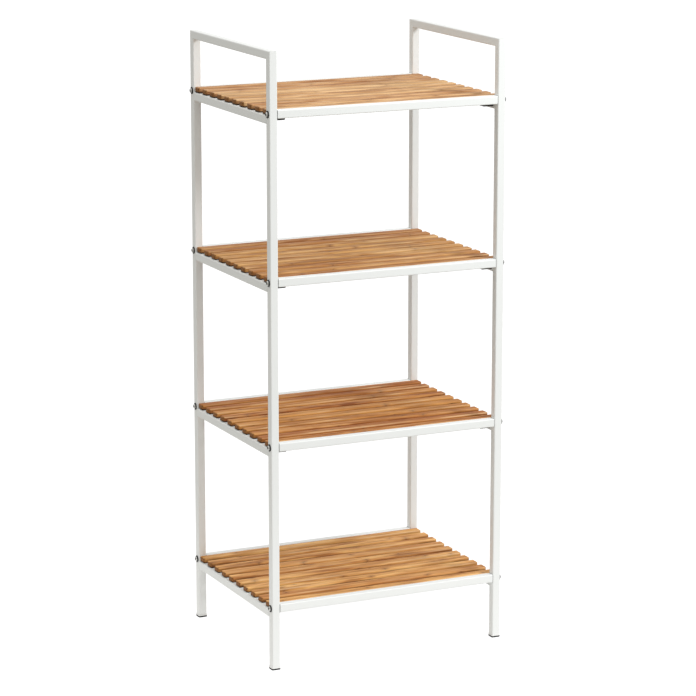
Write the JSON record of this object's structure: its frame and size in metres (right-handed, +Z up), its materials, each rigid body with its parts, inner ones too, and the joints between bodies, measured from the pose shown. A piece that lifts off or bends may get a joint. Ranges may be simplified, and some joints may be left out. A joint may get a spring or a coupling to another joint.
{
  "type": "slatted storage rack",
  "caption": "Free-standing tiered bathroom storage rack: white square-tube side frames with hoop tops, bolted cross rails and bamboo slat shelves.",
  "frame": {"origin": "on the floor, at the centre of the footprint", "axes": "+Z up, front towards -Y, +X to the right seen from the front"},
  "size_m": [0.4628, 0.3562, 1.1],
  "materials": {
    "powder_coat": "white powder coat, semi-matte",
    "bamboo": "carbonised bamboo, satin lacquer",
    "dark_batten": "dark stained wood, matt",
    "plug_nylon": "light grey moulded nylon",
    "bolt_zinc": "zinc plated",
    "washer_steel": "dark zinc plated",
    "screw_steel": "zinc plated, yellow tint",
    "foot_collar": "white moulded plastic",
    "foot_pad": "black rubber"
  },
  "bodies": {
    "root": {"left_front_post": "powder_coat", "left_rear_post": "powder_coat", "right_front_post": "powder_coat", "right_rear_post": "powder_coat", "left_top_rail": "powder_coat", "right_top_rail": "powder_coat", "left_side_rail_1": "powder_coat", "left_side_rail_2": "powder_coat", "left_side_rail_3": "powder_coat", "left_side_rail_4": "powder_coat", "right_side_rail_1": "powder_coat", "right_side_rail_2": "powder_coat", "right_side_rail_3": "powder_coat", "right_side_rail_4": "powder_coat", "front_rail_1": "powder_coat", "front_rail_2": "powder_coat", "front_rail_3": "powder_coat", "front_rail_4": "powder_coat", "rear_rail_1": "powder_coat", "rear_rail_2": "powder_coat", "rear_rail_3": "powder_coat", "rear_rail_4": "powder_coat", "rail_end_plugs": "plug_nylon", "frame_bolts": "bolt_zinc", "bolt_washers": "washer_steel", "left_front_foot_plug": "foot_collar", "left_rear_foot_plug": "foot_collar", "right_front_foot_plug": "foot_collar", "right_rear_foot_plug": "foot_collar", "left_front_foot_pad": "foot_pad", "left_rear_foot_pad": "foot_pad", "right_front_foot_pad": "foot_pad", "right_rear_foot_pad": "foot_pad", "deck_1_slats": "bamboo", "deck_2_slats": "bamboo", "deck_3_slats": "bamboo", "deck_4_slats": "bamboo", "deck_1_left_batten": "dark_batten", "deck_2_left_batten": "dark_batten", "deck_3_left_batten": "dark_batten", "deck_4_left_batten": "dark_batten", "deck_1_right_batten": "dark_batten", "deck_2_right_batten": "dark_batten", "deck_3_right_batten": "dark_batten", "deck_4_right_batten": "dark_batten", "deck_1_screws": "screw_steel", "deck_2_screws": "screw_steel", "deck_3_screws": "screw_steel", "deck_4_screws": "screw_steel"}
  },
  "joints": []
}
